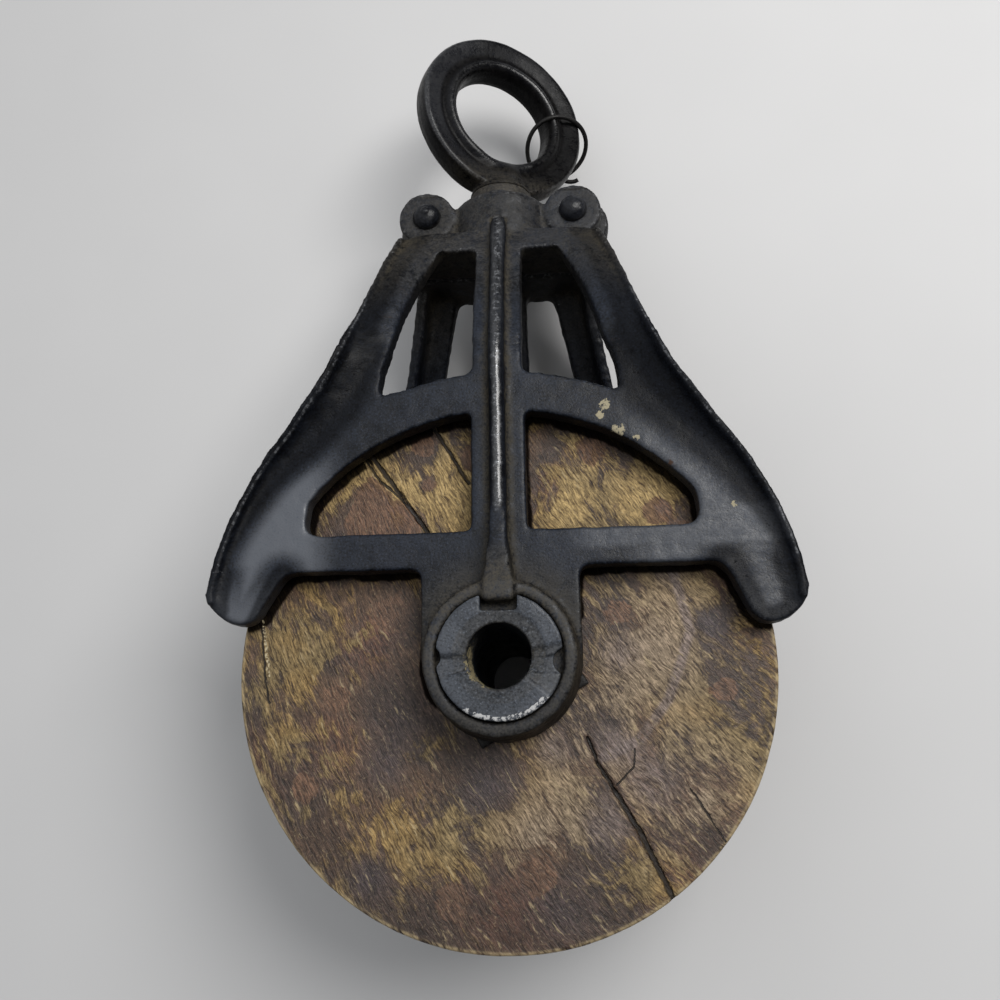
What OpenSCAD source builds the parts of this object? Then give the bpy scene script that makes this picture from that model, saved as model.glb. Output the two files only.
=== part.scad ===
// Farm pulley: a grooved wooden sheave turns on a hollow flanged axle between two cast cheeks.
// The cheeks meet in a riveted collar at the top, which traps the shank of a swivel eye.
// +X runs across the pulley, +Y points to the eye and +Z is the axle.
// The origin is at the middle of the axle. Millimetres.

/* [Sheave] */
// Outside radius of the wooden sheave
sheave_r = 70; // [66:1:73]
// Width of the sheave along the axle
sheave_w = 48; // [42:1:54]
// Rounding of the sheave's outer corners
sheave_lip_r = 1; // [0.5:0.5:4]
// Depth of the rope groove in the rim
groove_d = 9; // [6:0.5:12]
// Width of the flat rim left on each side of the groove
rim_flat = 5; // [4:0.5:7]

/* [Bush] */
// Outside radius of the bush that lines the sheave
bush_r = 14; // [13:0.25:15]
// Side of the square bush plates
plate_side = 31; // [30:0.5:33]
// Thickness of the square bush plates
plate_t = 1.8; // [1.2:0.2:2.4]
// Turn of the square plates about the axle, in degrees
plate_turn = 13; // [0:1:45]

/* [Axle] */
// Radius of the bore right through the axle
axle_bore_r = 7.95; // [7:0.05:8.5]
// Outside radius of the axle tube
axle_r = 10.5; // [10:0.25:11]
// Radius of the axle's front flange
flange_r = 15.6; // [14.5:0.1:16]
// Thickness of the axle's front flange
flange_t = 3.8; // [3:0.1:4.5]
// Width of the key notch in the flange
key_w = 9.2; // [9:0.1:10]
// Metal left between the key notch and the axle's tube
notch_wall = 0.5; // [0.3:0.1:1]
// How far the cheek's key reaches into the notch
key_reach = 2.2; // [1.5:0.1:2.8]
// Depth of the shallow slot across the flange
slot_d = 0.7; // [0.4:0.1:1]
// Width of the slot across the flange
slot_w = 4.4; // [3:0.1:6]
// Radius of the worn notch in the right edge of the flange
right_notch_r = 3.2; // [2:0.1:4]
// Radius of the worn notch in the left edge of the flange
left_notch_r = 2.6; // [2:0.1:4]

/* [Cheeks] */
// Gap between the face of the sheave and a cheek
side_gap = 3; // [2:0.25:4]
// Thickness of a cheek's flat web
web_t = 6; // [5:0.25:7]
// Radius of the hub boss at its top
hub_r = 19; // [18.5:0.25:20]
// Height of the hub boss above the web
hub_h = 8; // [7:0.25:9]
// How far the arch laps over the sheave's rim
arch_lap = 3.5; // [2:0.5:5]
// Width of the arch bar over the sheave
arch_w = 11.5; // [9:0.5:13]
// Gap between the sheave's rim and the rope guards
guard_gap = 3.5; // [3:0.1:5]
// Thickness of the rope guards
guard_t = 3.5; // [3:0.25:4.5]
// Depth of the rope guards below the cheek's face
guard_d = 14; // [10:0.5:15]
// How much wider the cheek gets from the guards up to the arch
rail_flare = 7; // [4:0.5:8]
// Width of a rail, measured across the pulley
rail_w = 13; // [11:0.5:14]
// How much further in the rear cheek's legs stand at their tops
rear_neck_in = 4; // [0:0.5:5]
// How much further in the rear cheek's legs stand from their middles down
rear_leg_in = 7; // [0:0.5:8]
// Width of the rear cheek's legs
rear_leg_w = 11; // [10:0.5:13]
// How far the lower windows stop short of the arch's radius
end_web = 14.2; // [12:0.2:16]
// Width of the raised lip along the outer edge
lip_w = 2.2; // [1.5:0.1:3]
// Height of the raised lip
lip_h = 1.8; // [1:0.1:2.5]
// Level of the top edge of the cross bar
bar_y = 33.5; // [31:0.5:36]
// Width of the cross bar
bar_h = 10.1; // [8:0.5:12]
// Level of the lowest point of the cheek tips
tip_y = 7.6; // [5:0.2:10]
// Half width of the centre bar
centre_half = 7.4; // [6.5:0.1:8.5]
// Width of the rib on the centre bar
rib_w = 4.4; // [3.5:0.1:5.5]
// Height of the rib above the web
rib_h = 4.6; // [3:0.2:6]
// Height of the front cheek's key above its hub
front_key_rise = 1.6; // [1:0.1:2]
// Height of the rear cheek's key above its hub
rear_key_rise = 0.4; // [0.2:0.1:0.8]

/* [Collar] */
// Level of the underside of the collar, above the axle
collar_y = 124; // [120:1:130]
// Height of the collar
collar_h = 25; // [24:0.5:28]
// Radius of the collar
collar_r = 15.6; // [15:0.1:17]
// Height of the sloping top of the collar
dome_h = 3; // [1:0.25:5]
// How far the sloping top draws in
dome_in = 5.2; // [4:0.1:6]
// Rounding of the collar's upper edge
collar_round = 1; // [0.5:0.25:2]
// Distance of each rivet from the middle
ear_x = 23.1; // [22:0.1:24]
// Height of the rivets above the underside of the collar
ear_rise = 17.6; // [16:0.1:18.5]
// Radius of the front cheek's ears
ear_r = 9; // [8.5:0.1:10.5]
// Radius of the rear cheek's ears
rear_ear_r = 10; // [8.5:0.1:11]
// Thickness of one ear
ear_t = 9.4; // [8:0.1:10]
// Half of the parting gap between the two castings
parting = 0.1; // [0.05:0.05:0.2]

/* [Rivets] */
// Radius of the rivet shafts
rivet_r = 3.4; // [3:0.1:3.8]
// Radius of the rivet heads
rivet_head_r = 4.4; // [4.2:0.1:5.4]
// Height of the rivet heads
rivet_head_h = 3.6; // [2.5:0.1:4.5]

/* [Eye] */
// Radius of the hole in the eye
eye_in_r = 16.9; // [15:0.1:19]
// Width of the eye's section, seen along the hole
eye_w = 12.2; // [11:0.1:13]
// Thickness of the eye's section, along the hole
eye_t = 10.6; // [10:0.1:12]
// Rounding of the eye's section
eye_round = 4.3; // [3:0.1:4.8]
// Height of the hole's centre above the top of the collar
eye_rise = 32.7; // [32.7:0.1:38]
// Turn of the eye about its shank as it lies, in degrees
eye_turn = 30; // [0:1:90]
// Radius of the shank
shank_r = 6.5; // [5.5:0.1:7]
// Radius of the head that the collar traps
shank_head_r = 10.2; // [9.5:0.1:11]
// Thickness of the trapped head
shank_head_t = 7; // [5:0.5:8]
// Radius of the eye's neck above its foot
neck_r = 8.6; // [8:0.1:9.2]
// Radius of the eye's foot, which rests on the washer
foot_r = 10; // [9.4:0.1:10.5]
// Thickness of the eye's foot
foot_t = 1.2; // [0.8:0.1:2]
// Radius of the washer under the eye
washer_r = 10; // [9.4:0.1:10.5]
// Thickness of the washer
washer_t = 3.2; // [1.5:0.1:3.2]

/* [Wire loop] */
// Diameter of the wire
wire_d = 1.5; // [1:0.1:2]
// Radius of the loop to the middle of the wire
loop_r = 10.6; // [10:0.1:12]
// Place of the loop round the eye, in degrees below level
loop_at = 4; // [-40:1:40]
// Lean of the loop, whose front stands higher than its back, in degrees
loop_lean = 38; // [0:1:42]

/* [Hidden] */
$fn = 96;

// Clearances
turn_fit = 0.05;
seat_fit = 0.05;
side_fit = 0.35;
free_fit = 0.3;

// Levels along the axle
sheave_face = sheave_w / 2;
plate_face = sheave_face + plate_t;
boss_floor = plate_face + side_fit;
web_floor = sheave_face + side_gap;
web_face = web_floor + web_t;
hub_face = web_face + hub_h;
flange_floor = hub_face - flange_t + 1;
flange_face = flange_floor + seat_fit + flange_t;
key_half = key_w / 2 - 2 * free_fit;
ring_r = flange_r - free_fit;

// Arch, guards and shoulders
arch_in = sheave_r - arch_lap;
arch_out = arch_in + arch_w;
guard_out = sheave_r + guard_gap + guard_t;
shoulder_x = sheave_r - 26;
shoulder_y = arch_out + 3.5;
arch_angle = 47;
guard_angle = 12;
neck_x = ear_x + ear_r - 1.1;
neck_y = collar_y + 7;
ear_foot = 9.5;
lug_r = hub_r + 1.5;
rivet_y = collar_y + ear_rise;
collar_top = collar_y + collar_h;

// Height of the cheek's face: flat beside the sheave, then sloping in to the collar
bend_y = arch_out + 5;
collar_z = collar_r + 2.6;
face_line = [[-lug_r - 10, web_face], [bend_y, web_face], [bend_y + 8, web_face - 1.6],
             [bend_y + 16, web_face - 4.6], [collar_y, collar_z], [collar_y + 8, collar_z - 4],
             [collar_y + 13.5, collar_z - 7.6], [collar_top + 4, collar_z - 9]];

// Rounds each corner of a closed outline that gives a radius as its third number
function rounded(p) = [for (i = [0:len(p) - 1])
    let (b = xy(p[i]), a = xy(p[(i + len(p) - 1) % len(p)]), c = xy(p[(i + 1) % len(p)]),
         d = min(p[i][2] == undef ? 0 : p[i][2], norm(a - b) / 2, norm(c - b) / 2),
         s = b + d * (a - b) / norm(a - b), e = b + d * (c - b) / norm(c - b))
    for (t = d == 0 ? [0] : [0, 0.25, 0.5, 0.75, 1])
        (1 - t) * (1 - t) * s + 2 * t * (1 - t) * b + t * t * e];
function xy(q) = [q[0], q[1]];

// Points of a circular arc
function arc(r, a, b, steps) = [for (i = [0:steps]) let (t = a + (b - a) * i / steps)
    [r * cos(t), r * sin(t)]];

// Points of a rectangle w by h round the origin with corners rounded to r
function round_rect(w, h, r) = [for (c = [[1, 1, 0], [-1, 1, 90], [-1, -1, 180], [1, -1, 270]],
    i = [0:6]) [c[0] * (w / 2 - r), c[1] * (h / 2 - r)]
        + r * [cos(c[2] + 15 * i), sin(c[2] + 15 * i)]];

function reversed(p) = [for (i = [len(p) - 1:-1:0]) p[i]];
function lifted(p, d) = [for (q = p) [q[0], q[1] + d]];

// Legs of a cheek: how far in they stand at the top and below, their width, and the angle on
// the arch where the upper windows end
front_legs = [0, 0, rail_w, 65.2];
rear_legs = [rear_neck_in, rear_leg_in, rear_leg_w, 69];

// Outer edge of a cheek, moved inwards by d, from the ear down to the tip
function rail_edge(legs, d) = concat(
    [[neck_x - legs[0] - d, neck_y, 3],
     [(neck_x + shoulder_x) / 2 + 0.8 - legs[1] - d, (neck_y + shoulder_y) / 2, 12],
     [shoulder_x - legs[1] - d, shoulder_y, 10]],
    [for (i = [0:7]) let (a = arch_angle - i * (arch_angle - guard_angle) / 7,
                          r = guard_out - d + rail_flare * a / arch_angle)
        [r * cos(a), r * sin(a)]]);

function right_side(legs) = concat([[0, collar_y + ear_foot], [ear_x, collar_y + ear_foot, 3]],
    rail_edge(legs, 0),
    [[guard_out - 0.6, tip_y + 5, 4], [guard_out - 6, tip_y, 5], [guard_out - 13, tip_y, 5],
     [guard_out - 17.5, tip_y + 10, 5], [guard_out - 20.5, bar_y - bar_h, 3],
     [lug_r, bar_y - bar_h, 2.5], [lug_r, 0], [0, 0]]);

lower_window = concat([[centre_half, bar_y, 1.5], [arch_in - end_web, bar_y, 6]],
    arc(arch_in, 40, 82, 10),
    [[centre_half, sqrt(arch_in * arch_in - centre_half * centre_half), 1.5]]);

function upper_window(legs) = concat(
    [[centre_half - 0.5, sqrt(arch_out * arch_out - centre_half * centre_half), 2]],
    arc(arch_out, 82, legs[3] + 2.8, 4), [[arch_out * cos(legs[3]), arch_out * sin(legs[3]), 4]],
    reversed([for (q = [for (i = [0:2]) rail_edge(legs, legs[2])[i]]) q[1] > collar_y
        ? [q[0], collar_y, 2.5] : q]),
    [[centre_half - 0.5, collar_y, 1]]);

// A band of height along the axle that follows the cheek's face, between two offsets from it
module face_band(low, high) {
    rotate([90, 0, 90])
        linear_extrude(height = 4 * sheave_r, center = true)
            polygon(concat(lifted(face_line, high), reversed(lifted(face_line, low))));
}

// The same outline on both sides of the middle, as a plate
module both_sides(points) {
    linear_extrude(height = 3 * web_face, center = true) {
        polygon(points);
        mirror([1, 0]) polygon(points);
    }
}

module windows(legs) {
    both_sides(rounded(lower_window));
    both_sides(rounded(upper_window(legs)));
}

// The flat and sloping web with its four windows
module web(legs) {
    difference() {
        intersection() {
            both_sides(rounded(right_side(legs)));
            face_band(-web_t, 0);
        }
        windows(legs);
    }
}

// The strip along a cheek's outer edge, w wide, between two offsets from the face
module edge_strip(legs, w, low, high) {
    intersection() {
        both_sides(rounded(concat(rail_edge(legs, 0),
                                  [[guard_out - 0.6, tip_y + 5, 4],
                                   [guard_out - 0.6 - w, tip_y + 5 + w / 2, 2]],
                                  reversed(rail_edge(legs, w)))));
        face_band(low, high);
    }
}

// The rib down the centre bar, which widens to a key at the hub, key_rise above the hub's face
module rib(key_rise) {
    intersection() {
        linear_extrude(height = 3 * web_face)
            polygon([[-rib_w / 2, collar_top - 2], [rib_w / 2, collar_top - 2],
                     [rib_w / 2, bar_y - 2], [key_half - 0.2, flange_r + 3],
                     [key_half, flange_r - key_reach], [-key_half, flange_r - key_reach],
                     [-key_half + 0.2, flange_r + 3], [-rib_w / 2, bar_y - 2]]);
        union() {
            face_band(-2, rib_h);
            rotate([90, 0, 90])
                linear_extrude(height = 4 * rib_w, center = true)
                    polygon([[0, flange_floor + seat_fit], [0, hub_face + key_rise],
                             [flange_r + 4, hub_face + key_rise], [bar_y + 8, web_face + rib_h],
                             [bar_y + 8, web_face - 2]]);
        }
    }
}

// The collar that the two castings form round the shank
module collar() {
    translate([0, collar_y, 0])
        rotate([-90, 0, 0])
            rotate_extrude()
                polygon(concat([[0, 0], [collar_r, 0]],
                               [for (t = [0:30:90])
                                   [collar_r - collar_round * (1 - cos(t)),
                                    collar_h - dome_h - collar_round * (1 - sin(t))]],
                               [[collar_r - dome_in, collar_h], [0, collar_h]]));
}

// The space in the collar for the shank and its head
module shank_space() {
    translate([0, collar_y, 0]) rotate([-90, 0, 0]) {
        cylinder(h = collar_h + 1, r = shank_r + turn_fit);
        translate([0, 0, 3])
            cylinder(h = shank_head_t + 2 * free_fit, r = shank_head_r + free_fit);
    }
}

module ears(radius) {
    for (side = [-1, 1]) {
        translate([side * ear_x, rivet_y, 0]) cylinder(h = ear_t, r = radius);
        translate([side * ear_x / 2 - ear_x / 2, collar_y + 4, 0])
            cube([ear_x, ear_rise - 3.5, ear_t - 1.5]);
    }
}

// The solid block under the collar, whose underside is the ledge over the windows
module ledge(legs) {
    intersection() {
        both_sides(rounded(right_side(legs)));
        translate([-2 * ear_x, collar_y, 0]) cube([4 * ear_x, 20, web_face]);
        face_band(-2 * web_face, 0);
    }
}

module cheek(legs, ears_r, key_rise) {
    difference() {
        union() {
            web(legs);
            edge_strip(legs, guard_t, -guard_d, -0.5);
            edge_strip(legs, lip_w, -1, lip_h);
            rib(key_rise);
            ledge(legs);
            collar();
            ears(ears_r);
            translate([0, 0, boss_floor])
                cylinder(h = hub_face - boss_floor, r1 = lug_r, r2 = hub_r);
        }
        shank_space();
        translate([0, 0, boss_floor - 1])
            cylinder(h = hub_h + web_face, r = axle_r + turn_fit);
        difference() {
            translate([0, 0, flange_floor]) cylinder(h = flange_t, r = flange_r + free_fit);
            translate([0, flange_r, flange_floor + flange_t / 2])
                cube([2 * key_half, 2 * key_reach, flange_t + 1], center = true);
        }
        for (side = [-1, 1])
            translate([side * ear_x, rivet_y, -1]) cylinder(h = ear_t + 2, r = rivet_r + seat_fit);
        translate([-2 * sheave_r, -2 * sheave_r, parting - 4 * sheave_r])
            cube([4 * sheave_r, 6 * sheave_r, 4 * sheave_r]);
    }
}

module front_cheek() { color("#3c4148") cheek(front_legs, ear_r, front_key_rise); }

module rear_cheek() {
    color("#363a40") mirror([0, 0, 1]) cheek(rear_legs, rear_ear_r, rear_key_rise);
}

module rivet() {
    dome = [for (i = [0:6]) [rivet_head_r * cos(15 * i), rivet_head_h * sin(15 * i)]];
    seat = ear_t + seat_fit;
    rotate_extrude()
        polygon(concat([for (p = dome) [p[0], p[1] + seat]],
                       [for (i = [6:-1:0]) [dome[i][0], -dome[i][1] - seat]],
                       [[rivet_r, -seat], [rivet_r, seat]]));
}

module left_rivet() { color("#2f3339") translate([-ear_x, rivet_y, 0]) rivet(); }

module right_rivet() { color("#2f3339") translate([ear_x, rivet_y, 0]) rivet(); }

// The notch for a cheek's key in the flange, and in the ring at the other end
module key_notch() {
    translate([-key_w / 2, axle_r + notch_wall, -1]) cube([key_w, flange_r, flange_t + 2]);
}

// Hollow axle: tube, notched front flange and a worn slot across its face
module axle() {
    tail = hub_face + 0.6;
    color("#6d7278")
        difference() {
            union() {
                translate([0, 0, -tail]) cylinder(h = tail + flange_face, r = axle_r);
                translate([0, 0, flange_floor + seat_fit]) cylinder(h = flange_t, r = flange_r);
            }
            translate([0, 0, -2 * tail]) cylinder(h = 4 * tail, r = axle_bore_r);
            translate([0, 0, flange_floor]) key_notch();
            translate([-2 * flange_r, -slot_w, flange_face - slot_d])
                cube([4 * flange_r, slot_w, slot_d + 1]);
            translate([flange_r + right_notch_r / 5, -right_notch_r / 2, flange_floor - 1])
                cylinder(h = flange_t + 4, r = right_notch_r);
            translate([-flange_r - left_notch_r / 2, 0, flange_floor - 1])
                cylinder(h = flange_t + 4, r = left_notch_r);
        }
}

// Ring that holds the rear end of the axle in the rear hub
module axle_ring() {
    color("#5f646a")
        translate([0, 0, -flange_face])
            difference() {
                cylinder(h = flange_t, r = ring_r);
                translate([0, 0, -1]) cylinder(h = flange_t + 2, r = axle_r + seat_fit);
                key_notch();
            }
}

module sheave() {
    groove_half = sheave_face - rim_flat;
    groove_r = (groove_half * groove_half + groove_d * groove_d) / (2 * groove_d);
    color("#a8905c")
        rotate_extrude($fn = 180)
            difference() {
                intersection() {
                    polygon([for (p = round_rect(2 * sheave_r, sheave_w, sheave_lip_r)) p]);
                    translate([bush_r + seat_fit, -sheave_face])
                        square([sheave_r, sheave_w]);
                }
                translate([sheave_r - groove_d + groove_r, 0]) circle(r = groove_r);
            }
}

// One square plate that lies on the sheave's face
module square_plate() {
    rotate([0, 0, plate_turn])
        translate([-plate_side / 2, -plate_side / 2, 0])
            cube([plate_side, plate_side, plate_t]);
}

// Bush with its square front plate
module sheave_bush() {
    color("#4a4d52")
        difference() {
            union() {
                translate([0, 0, sheave_face]) square_plate();
                translate([0, 0, -plate_face]) cylinder(h = 2 * plate_face, r = bush_r);
            }
            translate([0, 0, -2 * plate_face]) cylinder(h = 4 * plate_face, r = axle_r + turn_fit);
        }
}

module rear_bush_plate() {
    color("#4a4d52")
        difference() {
            translate([0, 0, -plate_face]) square_plate();
            translate([0, 0, -plate_face - 1]) cylinder(h = plate_t + 2, r = bush_r + seat_fit);
        }
}

eye_y = collar_top + eye_rise;
washer_y = collar_top + seat_fit;
shoulder_level = washer_y + washer_t + free_fit;
eye_mid_r = eye_in_r + eye_w / 2;

// Swivel eye: ring, neck, foot, shank and the head inside the collar
module swivel_eye() {
    color("#33373d") {
        translate([0, eye_y, 0])
            rotate([0, eye_turn, 0])
                rotate_extrude()
                    translate([eye_mid_r, 0]) polygon(round_rect(eye_w, eye_t, eye_round));
        translate([0, shoulder_level, 0])
            rotate([-90, 0, 0]) {
                cylinder(h = foot_t, r = foot_r);
                cylinder(h = eye_y - eye_in_r - shoulder_level - 1, r1 = neck_r,
                         r2 = eye_t / 2 - 0.6);
            }
        translate([0, collar_y + 3 + free_fit, 0]) rotate([-90, 0, 0]) {
            cylinder(h = shank_head_t, r = shank_head_r);
            cylinder(h = shoulder_level - collar_y, r = shank_r);
        }
    }
}

module swivel_washer() {
    color("#4b4a45")
        translate([0, washer_y, 0])
            rotate([-90, 0, 0])
                difference() {
                    cylinder(h = washer_t, r = washer_r);
                    translate([0, 0, -1]) cylinder(h = washer_t + 2, r = shank_r + free_fit);
                }
}

// Loop of wire round the eye, which leans and rests on the front of the ring
module wire_loop() {
    inside = loop_r - wire_d / 2 - free_fit;
    flat_half = eye_w / 2 - eye_round;
    drop = sqrt(inside * inside - flat_half * flat_half) * cos(loop_lean) - eye_t / 2;
    color("#2b2c2e")
        translate([0, eye_y, 0])
            rotate([0, eye_turn, -loop_at])
                translate([eye_mid_r, 0, -drop])
                    rotate([90 - loop_lean, 0, 0])
                        rotate_extrude()
                            translate([loop_r, 0]) circle(r = wire_d / 2, $fn = 24);
}

front_cheek();
rear_cheek();
left_rivet();
right_rivet();
axle();
axle_ring();
sheave();
sheave_bush();
rear_bush_plate();
swivel_eye();
swivel_washer();
wire_loop();
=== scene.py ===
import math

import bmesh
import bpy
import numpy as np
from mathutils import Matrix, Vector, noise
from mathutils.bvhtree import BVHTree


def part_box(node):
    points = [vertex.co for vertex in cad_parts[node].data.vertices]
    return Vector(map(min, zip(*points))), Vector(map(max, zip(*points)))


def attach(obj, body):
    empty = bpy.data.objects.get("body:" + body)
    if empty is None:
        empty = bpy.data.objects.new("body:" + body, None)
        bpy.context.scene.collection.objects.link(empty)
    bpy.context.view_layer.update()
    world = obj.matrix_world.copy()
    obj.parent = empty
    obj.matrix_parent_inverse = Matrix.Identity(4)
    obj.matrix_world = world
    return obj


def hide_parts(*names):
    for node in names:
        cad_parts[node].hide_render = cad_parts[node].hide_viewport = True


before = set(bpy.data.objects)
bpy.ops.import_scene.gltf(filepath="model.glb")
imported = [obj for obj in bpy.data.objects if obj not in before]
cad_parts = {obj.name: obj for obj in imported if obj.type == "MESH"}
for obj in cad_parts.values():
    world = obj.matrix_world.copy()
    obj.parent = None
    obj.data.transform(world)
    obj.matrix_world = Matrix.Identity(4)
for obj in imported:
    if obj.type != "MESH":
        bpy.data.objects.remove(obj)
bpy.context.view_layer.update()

# %% [markdown]
# # An old farm pulley
# The real thing is a wooden wheel between two iron castings, hung from a swivel eye. The CAD
# model says where every piece goes and how it moves, and this file gives the pieces their
# worn shapes and finishes. Blender works in metres. The numbers here are in millimetres, as
# a maker would write them, and one constant turns them into metres.

MM = 0.001
stage_set = bpy.context.scene
print("CAD nodes:", ", ".join(sorted(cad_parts)))

# %% [markdown]
# ## The camera comes first
# A picture of an object is matched with the camera before anything else. The camera looks
# straight down the axle, a little from below and from the right, from 27 cm away. Its turn is
# one rotation about one axis, and the camera is set to that axis and angle.

# %% Camera
CAMERA_PLACE = Vector((17.26, -22.97, 267.04))
CAMERA_TURN = Vector((0.26677, 0.07411, -0.02696))
FOCAL_LENGTH = 33.38

lens = bpy.data.cameras.new("camera")
lens.lens, lens.sensor_width = FOCAL_LENGTH, 36
lens.clip_start = 0.01
camera = bpy.data.objects.new("camera", lens)
stage_set.collection.objects.link(camera)
camera.rotation_mode = "AXIS_ANGLE"
axis = CAMERA_TURN.normalized()
camera.rotation_axis_angle = (CAMERA_TURN.length, *axis)
camera.location = CAMERA_PLACE * MM
stage_set.camera = camera
print("camera", round(camera.location.z, 3), "m above the axle's middle")

# %% [markdown]
# ## Meshes as arrays of points
# Old iron isn't smooth, and its wear follows its own edges. Both come from rules that move or
# mark every point of a mesh, and NumPy does that for all the points at once. These helpers
# read the points of a mesh, its normals and its edges as arrays.

# %% Points, normals and edges
def points_of(mesh):
    flat = np.empty(len(mesh.vertices) * 3, np.float32)
    mesh.vertices.foreach_get("co", flat)
    return flat.reshape(-1, 3).astype(float) / MM


def put_points(mesh, points):
    mesh.vertices.foreach_set("co", (points * MM).astype(np.float32).ravel())
    mesh.update()


def normals_of(mesh):
    flat = np.empty(len(mesh.vertices) * 3, np.float32)
    mesh.vertex_normals.foreach_get("vector", flat)
    return flat.reshape(-1, 3).astype(float)


def edges_of(mesh):
    flat = np.empty(len(mesh.edges) * 2, np.int32)
    mesh.edges.foreach_get("vertices", flat)
    return flat.reshape(-1, 2)


def marked(mesh, name, values):
    """Stores one number for each point, which a material can read by name."""
    layer = mesh.attributes.get(name) or mesh.attributes.new(name, "FLOAT", "POINT")
    layer.data.foreach_set("value", np.clip(values, 0, 1).astype(np.float32))


# %% Smoothing, steps and roughness
def relaxed(values, edges, times, share=0.5):
    """Moves each point's values towards the mean of its neighbours."""
    count = np.bincount(edges.ravel(), minlength=len(values))[:, None]
    for _ in range(times):
        total = np.zeros_like(values)
        for here, there in ((0, 1), (1, 0)):
            for column in range(values.shape[1]):
                total[:, column] += np.bincount(
                    edges[:, here], values[edges[:, there], column], len(values))
        values = values + share * (total / count - values)
    return values


def step(values, low, high):
    """0 below low, 1 above high and a smooth slope between."""
    t = np.clip((values - low) / (high - low), 0, 1)
    return t * t * (3 - 2 * t)


def rough(points, size, seed, octaves=3):
    """Fractal noise at each point, about -1 to 1, with lumps of the given size."""
    shift = Vector((seed * 17.3, seed * 5.1, seed * 9.7))
    scale = 1 / size
    return np.array([noise.fractal(Vector(p) * scale + shift, 1, 2.1, octaves) for p in points])


def spot(points, place, radius, soft=0.6):
    """1 at a place, falling to 0 at the radius."""
    away = np.linalg.norm(points[:, :len(place)] - np.array(place), axis=1)
    return 1 - step(away, radius * (1 - soft), radius)


# %% [markdown]
# ## Two ways to a plain mesh
# A cast piece starts as a copy of its CAD solid. The solid's long thin triangles can't be
# pushed about, so a voxel remesh turns them into small even squares first. A turned piece
# starts as a section, which a Geometry Nodes tree carries round the axis. Either way the
# modifier's result is taken out as a plain mesh and the modifier goes.

# %% Plain meshes
def plain(piece):
    """Replaces an object's mesh with what its modifiers make of it."""
    bpy.context.view_layer.update()
    seen = piece.evaluated_get(bpy.context.evaluated_depsgraph_get())
    result = bpy.data.meshes.new_from_object(seen)
    before = piece.data
    piece.modifiers.clear()
    piece.data = result
    result.name = piece.name
    if before.users == 0:
        bpy.data.meshes.remove(before)
    return piece


def placed(name, mesh):
    piece = bpy.data.objects.new(name, mesh)
    stage_set.collection.objects.link(piece)
    return piece


def merged(mesh, distance=0.01):
    """Joins corners that lie together and turns all faces outwards."""
    shell = bmesh.new()
    shell.from_mesh(mesh)
    bmesh.ops.remove_doubles(shell, verts=shell.verts, dist=distance * MM)
    bmesh.ops.recalc_face_normals(shell, faces=shell.faces)
    if shell.calc_volume(signed=True) < 0:
        bmesh.ops.reverse_faces(shell, faces=shell.faces)
    shell.to_mesh(mesh)
    shell.free()
    return mesh


def smooth(mesh):
    mesh.polygons.foreach_set("use_smooth", np.ones(len(mesh.polygons), bool))
    return mesh


def remeshed(piece, voxel):
    """Gives a closed piece small even faces, voxel millimetres wide."""
    even = piece.modifiers.new("Even faces", "REMESH")
    even.mode = "VOXEL"
    even.voxel_size = voxel * MM
    plain(piece)
    smooth(piece.data)
    print(f"{piece.name}: {len(piece.data.polygons)} faces")
    return piece


def cad_copy(name, node, voxel):
    mesh = merged(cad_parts[node].data.copy())
    mesh.materials.clear()
    return remeshed(placed(name, mesh), voxel)


# %% A bench for node trees
class Bench:
    """Adds nodes to a tree, and joins a socket or sets a value at each of their inputs."""

    def __init__(self, tree):
        self.tree = tree

    def add(self, kind, inputs=None, **settings):
        node = self.tree.nodes.new(kind)
        for name, value in settings.items():
            setattr(node, name, value)
        for key, value in (inputs or {}).items():
            if isinstance(value, bpy.types.NodeSocket):
                self.tree.links.new(value, node.inputs[key])
            else:
                node.inputs[key].default_value = value
        return node

    def math(self, operation, a, b=0.0, c=0.0):
        values = {0: a, 1: b, 2: c}
        return self.add("ShaderNodeMath", values, operation=operation).outputs[0]


# %% Geometry Nodes helpers
def new_tree(name, inputs):
    """An empty Geometry Nodes tree with named inputs, given as {name: (kind, default)}."""
    tree = bpy.data.node_groups.new(name, "GeometryNodeTree")
    face = tree.interface
    face.new_socket("Geometry", in_out="INPUT", socket_type="NodeSocketGeometry")
    for label, (kind, default) in inputs.items():
        socket = face.new_socket(label, in_out="INPUT", socket_type="NodeSocket" + kind)
        if default is not None:
            socket.default_value = default
    face.new_socket("Geometry", in_out="OUTPUT", socket_type="NodeSocketGeometry")
    bench = Bench(tree)
    return bench, bench.add("NodeGroupInput").outputs


def ended(bench, geometry, finish):
    """Ends a tree: smooth faces, no instances left, and a material."""
    shaded = bench.add("GeometryNodeSetShadeSmooth", {"Geometry": geometry}).outputs[0]
    real = bench.add("GeometryNodeRealizeInstances", {"Geometry": shaded}).outputs[0]
    dressed = bench.add("GeometryNodeSetMaterial", {"Geometry": real, "Material": finish})
    bench.add("NodeGroupOutput", {"Geometry": dressed.outputs[0]})
    return bench.tree


def grown(name, start, tree, values):
    """Runs a tree on a start mesh. Inputs are set by identifier, before the first evaluation."""
    piece = placed(name, start)
    modifier = piece.modifiers.new(tree.name, "NODES")
    modifier.node_group = tree
    for item in tree.interface.items_tree:
        if item.item_type == "SOCKET" and item.in_out == "INPUT" and item.name in values:
            modifier[item.identifier] = values[item.name]
    plain(piece)
    print(f"{name}: {len(piece.data.polygons)} faces from '{tree.name}'")
    return piece


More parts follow.
